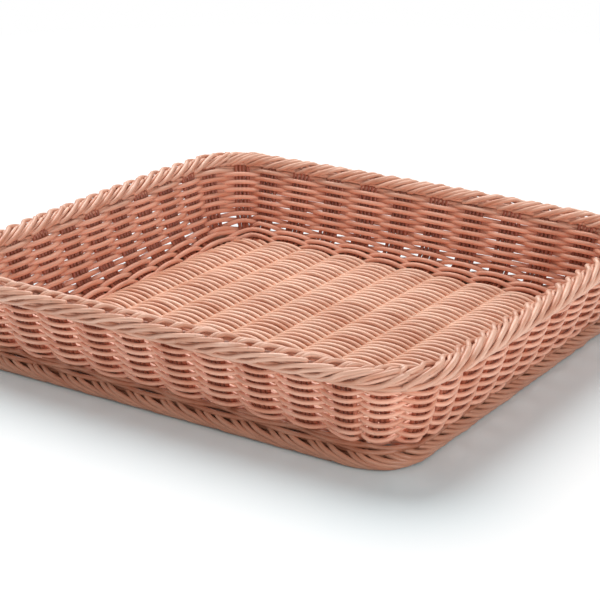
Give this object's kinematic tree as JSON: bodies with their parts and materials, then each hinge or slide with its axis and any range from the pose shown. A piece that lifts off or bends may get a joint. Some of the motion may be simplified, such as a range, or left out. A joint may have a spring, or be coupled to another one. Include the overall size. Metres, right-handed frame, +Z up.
{
  "type": "bakery basket",
  "caption": "Shallow rectangular basket woven from round plastic cane, with flaring walls and a rolled border, for laying out bread and pastry.",
  "frame": {"origin": "middle of the underside of the foot border", "axes": "+X along the long side, +Y along the short side towards the back, +Z up out of the basket"},
  "size_m": [0.354, 0.325, 0.065],
  "materials": {
    "cane_floor": "satin plastic cane, light peach",
    "cane_walls": "satin plastic cane, peach brown",
    "cane_stakes": "satin plastic cane, red brown in the shade of the weave",
    "cane_border": "satin plastic cane, light peach",
    "cane_foot": "satin plastic cane, dusty rose brown"
  },
  "bodies": {
    "root": {"floor_weave": "cane_floor", "floor_stake_01": "cane_stakes", "floor_stake_02": "cane_stakes", "floor_stake_03": "cane_stakes", "floor_stake_04": "cane_stakes", "floor_stake_05": "cane_stakes", "floor_stake_06": "cane_stakes", "floor_stake_07": "cane_stakes", "floor_stake_08": "cane_stakes", "floor_stake_09": "cane_stakes", "floor_stake_10": "cane_stakes", "left_stake_01": "cane_stakes", "left_stake_02": "cane_stakes", "left_stake_03": "cane_stakes", "left_stake_04": "cane_stakes", "left_stake_05": "cane_stakes", "left_stake_06": "cane_stakes", "left_stake_07": "cane_stakes", "left_stake_08": "cane_stakes", "left_stake_09": "cane_stakes", "right_stake_01": "cane_stakes", "right_stake_02": "cane_stakes", "right_stake_03": "cane_stakes", "right_stake_04": "cane_stakes", "right_stake_05": "cane_stakes", "right_stake_06": "cane_stakes", "right_stake_07": "cane_stakes", "right_stake_08": "cane_stakes", "right_stake_09": "cane_stakes", "corner_stake_back_left_1": "cane_stakes", "corner_stake_back_left_2": "cane_stakes", "corner_stake_back_right_1": "cane_stakes", "corner_stake_back_right_2": "cane_stakes", "corner_stake_front_left_1": "cane_stakes", "corner_stake_front_left_2": "cane_stakes", "corner_stake_front_right_1": "cane_stakes", "corner_stake_front_right_2": "cane_stakes", "wall_weaver_01": "cane_walls", "wall_weaver_02": "cane_walls", "wall_weaver_03": "cane_walls", "wall_weaver_04": "cane_walls", "wall_weaver_05": "cane_walls", "wall_weaver_06": "cane_walls", "wall_weaver_07": "cane_walls", "wall_weaver_08": "cane_walls", "wall_weaver_09": "cane_walls", "wall_weaver_10": "cane_walls", "wall_weaver_11": "cane_walls", "wall_weaver_12": "cane_walls", "wall_weaver_13": "cane_walls", "wall_weaver_14": "cane_walls", "wall_weaver_15": "cane_walls", "wall_weaver_16": "cane_walls", "wall_weaver_17": "cane_walls", "wall_weaver_18": "cane_walls", "top_border": "cane_border", "foot_border": "cane_foot"}
  },
  "joints": []
}
